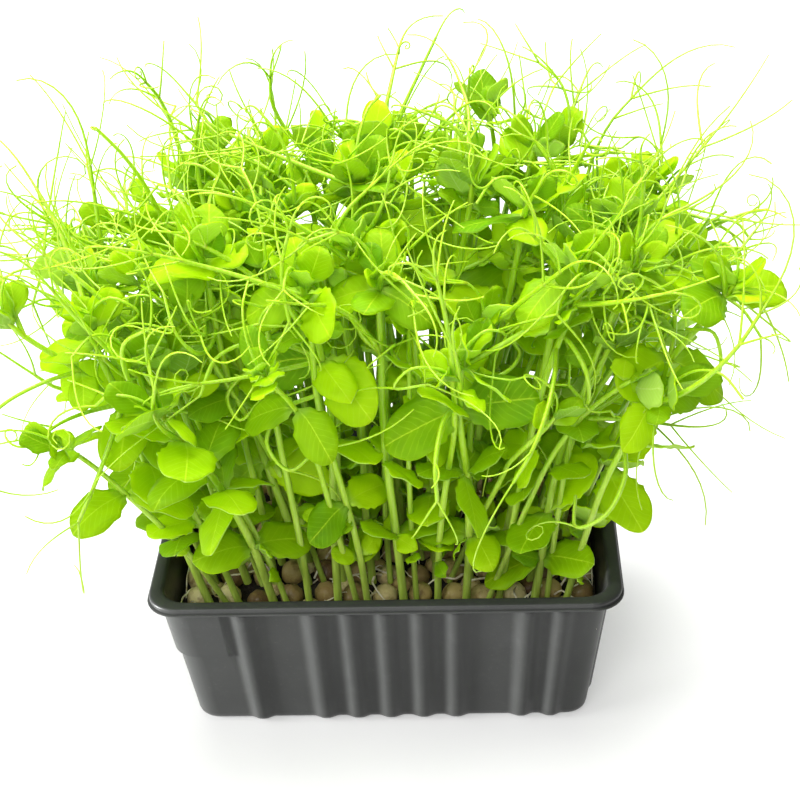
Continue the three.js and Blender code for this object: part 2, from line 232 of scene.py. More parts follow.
# Tray
# One sheet of dark grey plastic, 1 mm thick, drawn down over a mould while it is warm. Upright
# flutes stiffen its walls, and the rim turns out flat and then down in a short lip.
RIM_LENGTH = 150
RIM_DEPTH = 110
RIM_HEIGHT = 55
RIM_CORNER = 10
RIM_LEDGE = 4.2
RIM_ROUND = 1.2
RIM_ROUND_START = 0.2
LIP_DROP = 2.6
LIP_TUCK = 0.7
LIP_ROUND = 0.8
LIP_OUT = RIM_LEDGE - LIP_TUCK
LIP_BASE = RIM_HEIGHT - LIP_DROP
LIP_INNER_BASE = LIP_BASE + 0.4
# The small flange at the lip's foot: how far in from the ledge's edge, and how far above the base.
FLANGE = ((0.5, 0), (0.1, 0), (0, 0.15), (0, 0.5), (0.12, 0.62), (LIP_TUCK, 0.75))
SHEET = 1.0
# The bend under the rim: how far out, how far below the rim, and whether two corners step out.
UNDER_RIM = ((0.3, 1.4, True), (1.8, SHEET, False))
WALL_CORNER = 9
DRAFT = 7.2
DRAFT_MIDDLE_SHARE = 0.045
FOOT_ROUND = 3
FOOT_HEIGHT = 3.6
WALL_HEIGHTS = (12, 22)
INNER_WALL_HEIGHTS = (40, 20, 6)
INNER_FOOT = (1, 2.4)
FLUTE_RISE = 2.3
FLUTE_HALF = 4.7
FLUTE_CREST_HALF = 0.6
FLUTE_TOP = 51.2
# Where a flute fades: how far below its top, and the share of its rise that is left.
FLUTE_FADES = ((3, 1), (1.6, 0.93), (0.6, 0.7), (0, 0))
FRONT_FLUTES = (-45, -22.4, -11.2, 0, 11.2, 22.4, 45, 56)
SIDE_FLUTES = (-33, -11.2, 0, 11.2, 33)
LUG_WIDTH = 20
LUG_HEIGHT = 11
LUG_LOW = 31
LUG_RISE = 1.1
LUG_EDGE = 0.5
FRONT_STEPS = 150
SIDE_STEPS = 100
CORNER_STEPS = 8
EDGE_STEPS = 4
SHARP_ANGLE = math.radians(50)


def lean_in(value, half, height):
    """The walls narrow towards the base, least at the middle of each side."""
    depth = 1 - height / RIM_HEIGHT
    outward = min(1, abs(value) / half) ** 3
    return value * (1 - depth * (DRAFT_MIDDLE_SHARE + (DRAFT / half - DRAFT_MIDDLE_SHARE) * outward))


def flute_share(along, flutes):
    """How far a flute stands out at a place along the wall: 1 on its crest, 0 between flutes."""
    nearest = min(abs(along - middle) for middle in flutes)
    share = (FLUTE_HALF - nearest) / (FLUTE_HALF - FLUTE_CREST_HALF)
    share = min(1, max(0, share))
    return share * share * (3 - 2 * share)


def tray_outline(out, rise):
    """The tray from above, a distance outside its wall, with flutes that stand out by the rise."""
    corner = WALL_CORNER + out * ((RIM_CORNER - WALL_CORNER) / RIM_LEDGE if out > 0 else 1)
    half_x = RIM_LENGTH / 2 - RIM_LEDGE + out
    half_y = RIM_DEPTH / 2 - RIM_LEDGE + out
    sides = (
        (half_x, half_y, 0, FRONT_FLUTES, FRONT_STEPS),
        (half_y, half_x, 1, SIDE_FLUTES, SIDE_STEPS),
        (half_x, half_y, 2, FRONT_FLUTES, FRONT_STEPS),
        (half_y, half_x, 3, SIDE_FLUTES, SIDE_STEPS),
    )
    points = []
    for length, distance, quarter, flutes, steps in sides:
        turn = Matrix.Rotation(quarter * math.pi / 2, 2)
        straight = length - corner
        for step in range(steps):
            along = straight * (2 * step / steps - 1)
            points.append(turn @ Vector((along, -distance - rise * flute_share(along, flutes))))
        for step in range(CORNER_STEPS):
            angle = step / CORNER_STEPS * math.pi / 2
            along = straight + corner * math.sin(angle)
            points.append(turn @ Vector((along, corner - distance - corner * math.cos(angle))))
    return points


def tray_loop(out, height, rise, stepped):
    """One closed line round the tray. Two corners step out under the rim, to space stacked trays."""
    plain = tray_outline(out, rise)
    wide = tray_outline(out + LUG_RISE, 0)
    edge_x = RIM_LENGTH / 2 - RIM_LEDGE - LUG_WIDTH
    edge_y = RIM_DEPTH / 2 - RIM_LEDGE - LUG_HEIGHT
    loop = []
    for spot, lug_spot in zip(plain, wide):
        sign = 1 if spot.x > 0 else -1
        if stepped and sign * spot.x > edge_x and sign * spot.y > edge_y:
            spot = lug_spot
        half_x = RIM_LENGTH / 2 - RIM_LEDGE + out
        half_y = RIM_DEPTH / 2 - RIM_LEDGE + out
        loop.append((lean_in(spot.x, half_x, height), lean_in(spot.y, half_y, height), height))
    return loop


def tray_levels():
    """From the foot up the outside, over the rim and down the inside: how far out, how high, the
    flutes' rise there, and whether the two corners step out."""
    levels = []
    for step in range(EDGE_STEPS + 1):
        angle = step / EDGE_STEPS * math.pi / 2
        tuck = FOOT_ROUND * (1 - math.sin(angle))
        height = FOOT_HEIGHT * (1 - math.cos(angle))
        levels.append((-tuck, height, FLUTE_RISE * math.sin(angle), False))
    for height in (*WALL_HEIGHTS, LUG_LOW):
        levels.append((0, height, FLUTE_RISE, False))
    levels.append((0, LUG_LOW + LUG_EDGE, FLUTE_RISE, True))
    for below, share in FLUTE_FADES:
        levels.append((0, FLUTE_TOP - below, FLUTE_RISE * share, True))
    for out, below, stepped in UNDER_RIM:
        levels.append((out, RIM_HEIGHT - below, 0, stepped))
    for height in (RIM_HEIGHT - SHEET, LIP_INNER_BASE):
        levels.append((LIP_OUT - SHEET, height, 0, False))
    for tuck, above in FLANGE:
        levels.append((RIM_LEDGE - tuck, LIP_BASE + above, 0, False))
    for step in range(EDGE_STEPS + 1):
        angle = step / EDGE_STEPS * math.pi / 2
        out = LIP_OUT - LIP_ROUND * (1 - math.cos(angle))
        levels.append((out, RIM_HEIGHT - LIP_ROUND * (1 - math.sin(angle)), 0, False))
    for step in range(EDGE_STEPS + 1):
        angle = step / EDGE_STEPS * math.pi / 2
        out = RIM_ROUND_START - RIM_ROUND * math.sin(angle)
        levels.append((out, RIM_HEIGHT - RIM_ROUND * (1 - math.cos(angle)), 0, False))
    for height in INNER_WALL_HEIGHTS:
        levels.append((-SHEET, height, 0, False))
    levels.append((-SHEET - INNER_FOOT[0], INNER_FOOT[1], 0, False))
    levels.append((-SHEET - FOOT_ROUND, SHEET, 0, False))
    return levels


def shade_smooth(shape):
    for face in shape.faces:
        face.smooth = True


def tray_shape():
    shape = bmesh.new()
    count = 2 * (FRONT_STEPS + SIDE_STEPS) + 4 * CORNER_STEPS
    order = shape.verts.layers.int.new("order")
    ring = bmesh.ops.create_circle(shape, cap_ends=True, radius=1, segments=count)["verts"]
    for index, vert in enumerate(ring):
        vert[order] = index
    levels = tray_levels()
    for vert, place in zip(ring, tray_loop(*levels[0])):
        vert.co = place
    edges = shape.edges[:]
    for level in levels[1:]:
        made = bmesh.ops.extrude_edge_only(shape, edges=edges)["geom"]
        loop = tray_loop(*level)
        for vert in (item for item in made if isinstance(item, bmesh.types.BMVert)):
            vert.co = loop[vert[order]]
        edges = [item for item in made if isinstance(item, bmesh.types.BMEdge) and item.is_boundary]
    bmesh.ops.edgeloop_fill(shape, edges=edges)
    bmesh.ops.recalc_face_normals(shape, faces=shape.faces)
    shade_smooth(shape)
    return shape


def tray_finish():
    finish = Finish("dark_plastic")
    place = finish.place()
    cloud = finish.speckle(place, 60, 3)
    dust = finish.speckle(place, 1100, 2).ramp(0.64, 0.76)
    worn = finish.speckle(place, 260, 4, 0.7).ramp(0.5, 0.75)
    base = finish.blend(cloud, colour(43, 44, 43), colour(52, 53, 52))
    base = finish.blend(dust * 0.1, base, colour(110, 108, 102))
    base = finish.blend(worn * 0.1, base, colour(88, 88, 87))
    grain = finish.speckle(place, 2600, 2)
    return finish.done(finish.surface({
        "Base Color": base,
        "Roughness": 0.36 + worn * 0.14 + dust * 0.1,
        "Specular IOR Level": 0.25,
        "Normal": finish.bump(grain, 0.12, 0.05),
    }))


tray = show("tray_shell", tray_shape(), [tray_finish()])
tray.data.set_sharp_from_angle(angle=SHARP_ANGLE)
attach(tray, "root")
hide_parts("tray")
low_lit.objects.link(tray)


# Peat
# A block of damp black peat that fills the tray to below its rim. Its top is loose crumbs, and the
# peas lie pressed into it.
GAP = 0.35
PEAT_TOP = 38
PEAT_FOOT = SHEET + GAP
PEAT_CELLS = (96, 68)
PEAT_LIFT = 0.6
CRUMB_HEIGHT = 1.6
CRUMB_SCALE = 0.45
CRUMB_DETAIL = 3
FINE_CRUMB_SCALE = 1.1
FINE_CRUMB_SHARE = 0.5
BASE_TUCK = 0.03
CORNER_TUCK = 0.055


def bed_half():
    """Half the length and half the depth of the bed, at the top of the peat."""
    inset = RIM_LEDGE + SHEET + GAP
    half_x = RIM_LENGTH / 2 - inset
    half_y = RIM_DEPTH / 2 - inset
    return lean_in(half_x, half_x, PEAT_TOP), lean_in(half_y, half_y, PEAT_TOP)


def peat_shape():
    shape = bmesh.new()
    half_x, half_y = bed_half()
    bmesh.ops.create_grid(shape, x_segments=PEAT_CELLS[0], y_segments=PEAT_CELLS[1], size=1)
    for vert in shape.verts:
        tuck = 1 - CORNER_TUCK * (vert.co.x * vert.co.y) ** 6
        spot = Vector((vert.co.x * half_x * tuck, vert.co.y * half_y * tuck, PEAT_TOP + PEAT_LIFT))
        crumb = noise.turbulence(spot * CRUMB_SCALE, CRUMB_DETAIL, False)
        crumb = crumb + FINE_CRUMB_SHARE * noise.noise(spot * FINE_CRUMB_SCALE)
        spot.z += CRUMB_HEIGHT * crumb
        vert.co = spot
    rim = [edge for edge in shape.edges if edge.is_boundary]
    made = bmesh.ops.extrude_edge_only(shape, edges=rim)["geom"]
    base = [item for item in made if isinstance(item, bmesh.types.BMVert)]
    narrow_x = lean_in(half_x, half_x, PEAT_FOOT) / lean_in(half_x, half_x, PEAT_TOP) - BASE_TUCK
    narrow_y = lean_in(half_y, half_y, PEAT_FOOT) / lean_in(half_y, half_y, PEAT_TOP) - BASE_TUCK
    for vert in base:
        vert.co = (vert.co.x * narrow_x, vert.co.y * narrow_y, PEAT_FOOT)
    rim = [item for item in made if isinstance(item, bmesh.types.BMEdge) and item.is_boundary]
    bmesh.ops.edgeloop_fill(shape, edges=rim)
    bmesh.ops.recalc_face_normals(shape, faces=shape.faces)
    shade_smooth(shape)
    return shape


def peat_finish():
    finish = Finish("black_peat")
    place = finish.place()
    crumb = finish.speckle(place, 700, 4, 0.65)
    fibre = finish.speckle(place, 1500, 2).ramp(0.6, 0.72)
    base = finish.blend(crumb.ramp(0.3, 0.7), colour(12, 9, 7), colour(46, 36, 27))
    base = finish.blend(fibre * 0.45, base, colour(92, 74, 52))
    return finish.done(finish.surface({
        "Base Color": base,
        "Roughness": 0.96 - fibre * 0.1,
        "Normal": finish.bump(crumb, 0.8, 0.6),
    }))


peat = show("peat_block", peat_shape(), [peat_finish()])
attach(peat, "root")
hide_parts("peat")


# Peas
# Soaked field peas, 8 to 10 mm across, cream to brown, sown in one tight layer, with smaller ones in
# the hollows between them. Their coats have shrunk into soft wrinkles round the sprouting seed.
SEEDS_ACROSS = 13
SEEDS_DEEP = 8
SEED_BASE = 2.4
SEED_RISE = 4
SEED_SHIFT = 0.9
STEM_PIT = 0.6
PEA_WIDTH = (7.6, 9.4)
PEA_OVAL = (0.94, 1.1)
PEA_HEIGHT = 8.4
PEA_LIFT = (-1.4, 0.5)
LOW_PEA_LIFT = (0.2, 2.4)
LOW_PEA_SHARE = 0.86
PEA_DETAIL = 3
LOW_PEA_DETAIL = 2
WRINKLE = 0.075
WRINKLE_SCALE = 1.7
FINE_WRINKLE_SCALE = 3.6
WRINKLE_SWELL = 0.8
WRINKLE_DEPTH = 3.2
DENT = 0.03
DENT_SCALE = 0.9


def is_stem_spot(i, j):
    """A shoot stands in every other hollow between four peas."""
    inside = 0 < i < 2 * SEEDS_ACROSS and 0 < j < 2 * SEEDS_DEEP
    return inside and i % 2 == 0 and j % 2 == 0 and (i // 2 + j // 2) % 2 == 0


def bed_point(i, j):
    """A point of the bed, on a grid with two cells a pea: crests lie where i and j are odd."""
    half_x, half_y = bed_half()
    share_x = i / SEEDS_ACROSS - 1
    share_y = j / SEEDS_DEEP - 1
    roundness = ((i % 2) + (j % 2)) / 2
    shift = math.sin(i * 2.3 + j * 4.1)
    tuck = 1 - CORNER_TUCK * (share_x * share_y) ** 6
    height = SEED_BASE + SEED_RISE * roundness * (1 + 0.12 * shift)
    return np.array((
        half_x * share_x * tuck + SEED_SHIFT * shift * (1 - share_x ** 4),
        half_y * share_y * tuck + SEED_SHIFT * math.cos(i * 3.7 + j) * (1 - share_y ** 4),
        PEAT_TOP + GAP + (STEM_PIT if is_stem_spot(i, j) else height),
    ))


def add_pea(shape, tone, crest, size, detail, dice):
    """One wrinkled pea with its top at the crest."""
    made = bmesh.ops.create_icosphere(shape, subdivisions=detail, radius=1)["verts"]
    turn = Euler([dice.uniform(-math.pi, math.pi) for _ in range(3)]).to_matrix()
    own = Vector([dice.uniform(-50, 50) for _ in range(3)])
    shade = dice.random()
    width = dice.uniform(*PEA_WIDTH) / 2 * size
    half = Vector((width, width * dice.uniform(*PEA_OVAL), PEA_HEIGHT / 2 * size))
    for vert in made:
        skin = turn @ vert.co
        fine_fold = abs(noise.noise(skin * FINE_WRINKLE_SCALE + own))
        fold = abs(noise.noise(skin * WRINKLE_SCALE + own)) + 0.5 * fine_fold
        dent = DENT * noise.noise(skin * DENT_SCALE - own)
        skin = vert.co * (1 + WRINKLE * (WRINKLE_SWELL - WRINKLE_DEPTH * fold) + dent)
        top = (skin.z - 1) * half.z
        vert.co = (crest[0] + skin.x * half.x, crest[1] + skin.y * half.y, crest[2] + top)
        vert[tone] = shade


def pea_shape():
    shape = bmesh.new()
    tone = shape.verts.layers.float.new("tone")
    dice = random.Random(71)
    for j in range(1, 2 * SEEDS_DEEP, 2):
        for i in range(1, 2 * SEEDS_ACROSS, 2):
            crest = bed_point(i, j) + (0, 0, dice.uniform(*PEA_LIFT))
            add_pea(shape, tone, crest, 1, PEA_DETAIL, dice)
    for j in range(2, 2 * SEEDS_DEEP, 2):
        for i in range(2, 2 * SEEDS_ACROSS, 2):
            if is_stem_spot(i, j):
                continue
            crest = bed_point(i, j) + (0, 0, dice.uniform(*LOW_PEA_LIFT))
            add_pea(shape, tone, crest, LOW_PEA_SHARE, LOW_PEA_DETAIL, dice)
    shade_smooth(shape)
    return shape


def pea_finish():
    finish = Finish("pea_coat")
    place = finish.place()
    tone = finish.node("Attribute", {"attribute_name": "tone"}, {}, "Fac")
    blotch = finish.speckle(place, 330, 4, 0.6)
    fine = finish.speckle(place, 1900, 3, 0.6)
    base = finish.blend(tone.ramp(0.0, 0.6), colour(222, 208, 150), colour(176, 154, 92))
    base = finish.blend(tone.ramp(0.68, 0.95), base, colour(96, 70, 38))
    base = finish.blend(blotch.ramp(0.48, 0.7) * 0.75, base, colour(124, 96, 48))
    base = finish.blend(fine.ramp(0.6, 0.8) * 0.4, base, colour(226, 214, 166))
    return finish.done(finish.surface({
        "Base Color": base,
        "Roughness": 0.55 + blotch * 0.25,
        "Coat Weight": fine.ramp(0.3, 0.6) * 0.25,
        "Normal": finish.bump(fine + blotch, 0.5, 0.35),
    }))


peas = show("sprouted_peas", pea_shape(), [pea_finish()])
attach(peas, "root")
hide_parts("seed_bed")


# Roots
# White roots, under 1 mm thick, that creep between the peas before they turn down into the peat.
ROOT_COUNT = 90
ROOT_STEPS = 7
ROOT_STEP = 2.6
ROOT_SPREAD = 0.93
ROOT_EDGE_GAP = 1
ROOT_HEIGHT = (41.6, 44.2)
ROOT_START_DEPTH = 2
ROOT_TURN = 0.7
ROOT_RISE = (-0.25, 0.3)
ROOT_END_RISE = -0.9
ROOT_RADIUS = (0.28, 0.5)
ROOT_TAPER = 0.4


def smooth_line(rings, cuts):
    """A smooth line through ring centres, with a few cuts to each stretch."""
    ends = np.vstack([2 * rings[0] - rings[1], rings, 2 * rings[-1] - rings[-2]])
    line = [rings[0]]
    for a, b, c, d in zip(ends, ends[1:], ends[2:], ends[3:]):
        for cut in range(1, cuts + 1):
            t = cut / cuts
            bend = (2 * a - 5 * b + 4 * c - d) * t * t + (3 * b - a - 3 * c + d) * t ** 3
            line.append(0.5 * (2 * b + (c - a) * t + bend))
    return np.array(line)


def new_rods(name, sides):
    """A curve that holds thin round rods. Its bevel has twice as many sides as given, and four."""
    rods = bpy.data.curves.new(name, "CURVE")
    rods.dimensions = "3D"
    rods.bevel_depth = 1
    rods.bevel_resolution = sides
    rods.use_fill_caps = True
    return rods


def add_rod(rods, line, radii, material=0):
    spline = rods.splines.new("POLY")
    spline.points.add(len(line) - 1)
    spline.points.foreach_set("co", np.column_stack([line, np.ones(len(line))]).ravel())
    spline.points.foreach_set("radius", np.asarray(radii, float))
    spline.material_index = material


def rods_mesh(rods, materials):
    """The rods as one mesh."""
    for material in materials:
        rods.materials.append(material)
    holder = bpy.data.objects.new(rods.name, rods)
    mesh = bpy.data.meshes.new_from_object(holder)
    bpy.data.objects.remove(holder)
    return mesh


def root_rods():
    rods = new_rods("root_lines", 1)
    dice = random.Random(33)
    half_x, half_y = bed_half()
    for _ in range(ROOT_COUNT):
        x = dice.uniform(-ROOT_SPREAD, ROOT_SPREAD) * half_x
        y = dice.uniform(-ROOT_SPREAD, ROOT_SPREAD) * half_y
        point = np.array((x, y, dice.uniform(*ROOT_HEIGHT)))
        heading = dice.uniform(0, 2 * math.pi)
        rings = [point - (0, 0, ROOT_START_DEPTH)]
        for step in range(ROOT_STEPS):
            heading += dice.uniform(-ROOT_TURN, ROOT_TURN)
            rise = ROOT_END_RISE if step > ROOT_STEPS - 3 else dice.uniform(*ROOT_RISE)
            point = point + np.array((math.cos(heading), math.sin(heading), rise)) * ROOT_STEP
            point[0] = min(half_x - ROOT_EDGE_GAP, max(ROOT_EDGE_GAP - half_x, point[0]))
            point[1] = min(half_y - ROOT_EDGE_GAP, max(ROOT_EDGE_GAP - half_y, point[1]))
            rings.append(point)
        line = smooth_line(np.array(rings), 2)
        radius = dice.uniform(*ROOT_RADIUS)
        add_rod(rods, line, np.linspace(radius, radius * ROOT_TAPER, len(line)))
    return rods


def root_finish():
    finish = Finish("white_root")
    place = finish.place()
    stain = finish.speckle(place, 420, 3).ramp(0.45, 0.7)
    base = finish.blend(stain, colour(232, 224, 200), colour(188, 166, 122))
    return finish.done(finish.surface({"Base Color": base, "Roughness": 0.5 + stain * 0.2}))


root_shape = bmesh.new()
root_shape.from_mesh(rods_mesh(root_rods(), [root_finish()]))
roots = show("pea_roots", root_shape, [bpy.data.materials["white_root"]])
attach(roots, "root")


# Shoots
# Each pea has sent up one juicy pale stem. Pairs of clasping leaves sit at its joints, each one half
# of a heart, and thin green tendrils reach out from the tip and from a leaf stalk.
STEM_FOOT = 41.15
LEAN_X = 46
LEAN_Y = 26
LEAN_GROWTH = 1.1
LEAN_SPREAD = (0.6, 1.1)
STRAY_X = 9
STRAY_Y = 8
DROOP = 0.22
SWAY = (1.5, 4.5)
SHORTEST = 112
TALLEST = 154
EDGE_DROP = 16
LOW_JOINT = (0.3, 0.5)
STALK_JOINT = (0.66, 0.76)
TOP_JOINT = (0.88, 0.96)
TENDRIL_LENGTH = (24, 40)
TENDRIL_CURL = (1, 4.6)
TENDRIL_STEPS = 4
STALK_LENGTH = (34, 52)
STALK_CURL = 4.4
STALK_TURN = 1.3
STALK_STEPS = 4
LOW_BLADE = 23
MIDDLE_BLADE = 25.5
TOP_BLADE = 20.5
BLADE_LENGTH = (0.85, 1)
BLADE_TURN = 1.5
BLADE_CLIMB = (-0.95, 0.4)
BLADE_ROLL = 0.5
BLADE_SWEEP = (0.1, 0.7)
BLADE_CUP = (0, 0.5)
BLADE_BEND = (0, 0.35)
WAIST = 2.2
BEAD_REACH = 4.5
BEAD_STEP = 1.6
STEM_BEAD = 2
STALK_BEAD = 1.3
BLADE_BEAD = 1.9
# Where the beads of a blade lie: a share of its length, and how far across they go, by its length.
BLADE_SPANS = (
    (0.12, -0.24, 0.14),
    (0.32, -0.42, 0.29),
    (0.52, -0.4, 0.29),
    (0.74, -0.36, 0.26),
    (0.95, -0.12, 0.08),
)
STEM_ATTEMPTS = 60
STALK_ATTEMPTS = 24
PAIR_ATTEMPTS = 30
SEED = 377
DRAW_STEP = 1664525
DRAW_SHIFT = 1013904223
DRAW_SIZE = 4294967296
draw_state = SEED


def draw(low, high):
    """The next seeded random number, as in the frame's own source, so that shoots match."""
    global draw_state
    draw_state = (draw_state * DRAW_STEP + DRAW_SHIFT) % DRAW_SIZE
    return low + (high - low) * draw_state / DRAW_SIZE


class Beads:
    """Points with a radius that stand for what has grown, and keep shoots clear of each other. A
    near bead lies so close to its own stem that only other shoots keep clear of it."""

    def __init__(self):
        self.rows = np.empty((0, 6))

    def is_clear(self, beads, owner):
        spots = self.rows[:, :3]
        low = beads[:, :3].min(axis=0) - BEAD_REACH
        high = beads[:, :3].max(axis=0) + BEAD_REACH
        others = self.rows[np.all((spots > low) & (spots < high), axis=1)]
        apart = ((beads[:, None, :3] - others[None, :, :3]) ** 2).sum(axis=2)
        touching = apart < (beads[:, None, 3] + others[None, :, 3]) ** 2
        own = others[None, :, 5] == owner
        near = (beads[:, None, 4] + others[None, :, 4]) > 0
        return not (touching & ~(own & near)).any()

    def place(self, beads, owner):
        owned = np.column_stack([beads, np.full(len(beads), owner)])
        self.rows = np.vstack([self.rows, owned])


def line_beads(rings, radius, near_share):
    rows = []
    for i in range(1, len(rings)):
        count = math.ceil(np.linalg.norm(rings[i] - rings[i - 1]) / BEAD_STEP)
        for k in range(1, count + 1):
            spot = rings[i - 1] + (rings[i] - rings[i - 1]) * (k / count)
            rows.append((*spot, radius, i - 1 + k / count <= near_share))
    return np.array(rows)


def direction(heading, climb):
    level = math.cos(climb)
    return np.array((math.cos(heading) * level, math.sin(heading) * level, math.sin(climb)))


def unit(arrow):
    return arrow / np.linalg.norm(arrow)


def off_axis(arrow, along):
    """The part of an arrow that stands square to a unit direction."""
    return unit(arrow - along * arrow.dot(along))


def turned(arrow, axis, angle):
    square = np.cross(axis, arrow)
    level = arrow * math.cos(angle) + square * math.sin(angle)
    return level + axis * axis.dot(arrow) * (1 - math.cos(angle))


def curl_rings(start, along, axis, length, curl, steps):
    """Ring centres of a tendril that curls ever more tightly about an axis."""
    rings = []
    point = start
    for i in range(1, steps + 1):
        along = turned(along, axis, curl * (2 * i - 1) / (steps * steps))
        point = point + along * (length / steps)
        rings.append(point)
    return rings


class Shoot:
    """One stem with its joints, its tendril, its leaf stalk and its pairs of blades."""

    def __init__(self, spot, home_x, home_y):
        spread = draw(*LEAN_SPREAD)
        self.spot = spot
        self.lean_x = LEAN_X * home_x * spread + draw(-STRAY_X, STRAY_X)
        self.lean_y = LEAN_Y * home_y * spread + draw(-STRAY_Y, STRAY_Y)
        self.height = draw(SHORTEST, TALLEST) - EDGE_DROP * home_x * home_x
        self.droop = DROOP * spread * max(abs(home_x), abs(home_y))
        self.sway = draw(*SWAY)
        self.phase = draw(0, 2 * math.pi)
        self.pairs = []
        self.stalk = None
        low = draw(*LOW_JOINT)
        stalk = draw(*STALK_JOINT)
        top = draw(*TOP_JOINT)
        self.joints = [self.point(t) for t in (0, low / 2, low, (low + stalk) / 2, stalk, top)]
        self.outwards = math.atan2(self.lean_y, self.lean_x)
        along = unit(self.joints[5] - self.joints[4])
        axis = off_axis(direction(draw(0, 2 * math.pi), 0), along)
        length = draw(*TENDRIL_LENGTH)
        curl = draw(*TENDRIL_CURL)
        self.tip = curl_rings(self.joints[5], along, axis, length, curl, TENDRIL_STEPS)

    def point(self, t):
        """The middle line at a share of the height: upright at the pea, then leaning outwards."""
        spread = t ** LEAN_GROWTH
        sway_x = math.sin(t * 5.2 + self.phase) - math.sin(self.phase)
        sway_y = math.cos(t * 4.4 + self.phase) - math.cos(self.phase)
        return np.array((
            self.spot[0] + self.lean_x * spread + self.sway * t * sway_x,
            self.spot[1] + self.lean_y * spread + self.sway * t * sway_y,
            STEM_FOOT + self.height * t * (1 - self.droop * t * t),
        ))

    def rings(self):
        return np.array(self.joints + self.tip)


class Pair:
    """Two blades that clasp a stem at a joint, folded along their middle with their tips bent."""

    def __init__(self, root, forward, roll, heading, length, sweep, cup, bend):
        level = direction(heading + math.pi / 2, 0)
        up = np.cross(forward, level)
        self.root = root
        self.forward = forward
        self.side = level * math.cos(roll) + up * math.sin(roll)
        self.normal = np.cross(self.forward, self.side)
        self.length = length
        self.sweep = sweep
        self.cup = cup
        self.bend = bend

    def swept(self, along, across):
        """A place on a blade, by its length, in the plane of the pair."""
        turn = math.pi / 2 - self.sweep
        x = along * self.length
        y = -across * self.length
        turned_y = x * math.sin(turn) + y * math.cos(turn)
        return x * math.cos(turn) - y * math.sin(turn), turned_y + WAIST / 2

    def point(self, x, y, lift=0):
        rise = self.cup * abs(y) - self.bend * (x * x + y * y) / self.length + lift
        return self.root + self.forward * x + self.side * y + self.normal * rise

    def beads(self, radius):
        rows = []
        for hand in (1, -1):
            for along, low, high in BLADE_SPANS:
                for k in range(5):
                    x, y = self.swept(along, low + (high - low) * k / 4)
                    rows.append((*self.point(x, hand * y), radius, along < 0.2))
        return np.array(rows)


def grow_stems(spots, beads, first_owner, bead_radius, stray=0):
    shoots = []
    for i, j in spots:
        for _ in range(STEM_ATTEMPTS):
            home_x = i / SEEDS_ACROSS - 1
            home_y = j / SEEDS_DEEP - 1
            if stray:
                home_x = max(-1, min(1, home_x + draw(-stray, stray)))
                home_y = max(-1, min(1, home_y + draw(-stray, stray)))
            shoot = Shoot(bed_point(i, j), home_x, home_y)
            rows = line_beads(shoot.rings(), bead_radius, 0)
            if beads.is_clear(rows, first_owner + len(shoots)):
                break
        beads.place(rows, first_owner + len(shoots))
        shoots.append(shoot)
    return shoots


def grow_stalks(shoots, beads, first_owner):
    for owner, shoot in enumerate(shoots, first_owner):
        root = shoot.joints[4]
        for attempt in range(STALK_ATTEMPTS):
            heading = shoot.outwards + draw(-STALK_TURN, STALK_TURN) * (1 + 0.08 * attempt)
            along = direction(heading, draw(-0.3, 0.8))
            axis = off_axis(direction(heading + math.pi / 2, draw(-0.8, 0.8)), along)
            length = draw(*STALK_LENGTH) * (1 - 0.02 * attempt)
            curl = draw(-STALK_CURL, STALK_CURL)
            rings = [root] + curl_rings(root, along, axis, length, curl, STALK_STEPS)
            rows = line_beads(rings, STALK_BEAD, 1)
            if beads.is_clear(rows, owner):
                beads.place(rows, owner)
                shoot.stalk = np.array(rings)
                break


def grow_pair(shoot, beads, owner, root, longest, bead_radius):
    for attempt in range(PAIR_ATTEMPTS):
        heading = shoot.outwards + draw(-BLADE_TURN, BLADE_TURN) * (1 + 0.05 * attempt)
        forward = direction(heading, draw(*BLADE_CLIMB))
        roll = draw(-BLADE_ROLL, BLADE_ROLL)
        length = longest * draw(*BLADE_LENGTH) * (1 - 0.018 * attempt)
        sweep = draw(*BLADE_SWEEP)
        cup = draw(*BLADE_CUP)
        pair = Pair(root, forward, roll, heading, length, sweep, cup, draw(*BLADE_BEND))
        rows = pair.beads(bead_radius)
        if beads.is_clear(rows, owner):
            beads.place(rows, owner)
            shoot.pairs.append(pair)
            return


def grow_pairs(shoots, beads, first_owner, scale, bead_radius):
    for joint, blade in ((4, MIDDLE_BLADE), (5, TOP_BLADE), (2, LOW_BLADE)):
        for owner, shoot in enumerate(shoots, first_owner):
            grow_pair(shoot, beads, owner, shoot.joints[joint], blade * scale, bead_radius)


hollows = [(i, j) for j in range(2, 2 * SEEDS_DEEP, 2) for i in range(2, 2 * SEEDS_ACROSS, 2)]
beads = Beads()
shoots = grow_stems([spot for spot in hollows if is_stem_spot(*spot)], beads, 0, STEM_BEAD)
grow_stalks(shoots, beads, 0)
grow_pairs(shoots, beads, 0, 1, BLADE_BEAD)


# The look of one shoot
# The stem is round and smooth, and thinner towards its tip. A blade is under half a millimetre thick,
# with a sunk midrib, a wavy surface and blunt teeth beside the stem.
STEM_SIDES = 2
STEM_FOOT_RADIUS = 1.4
STEM_TOP_RADIUS = 1.0
STALK_RADIUS = 0.95
STALK_END_RADIUS = 0.6
TENDRIL_RADIUS = 0.45
TENDRIL_TIP_RADIUS = 0.2
SIDE_TENDRIL_SCALE = 0.85
CURLY_SHARE = 0.13
SKIPPED_SHARE = 0.44
LONGEST_TENDRIL = 40
STRAIGHT_TURNS = (0.03, 0.3)
COILED_TURNS = (0.4, 1.3)
COIL_TIGHTNESS = 2.4
COIL_GROWTH = 1.4
COIL_PITCH = 0.18
TENDRIL_RINGS = 9
RINGS_A_TURN = 7
SHORTENED = 0.8
SPRAY_JOINTS = (4, 5)
SPRAY_LENGTH = (24, 52)
SPRAY_SHORTENED = 0.88
SPRAY_CLIMB = (0.1, 1.4)
REACH_X = 127
REACH_Y = 90
REACH_Z = 201
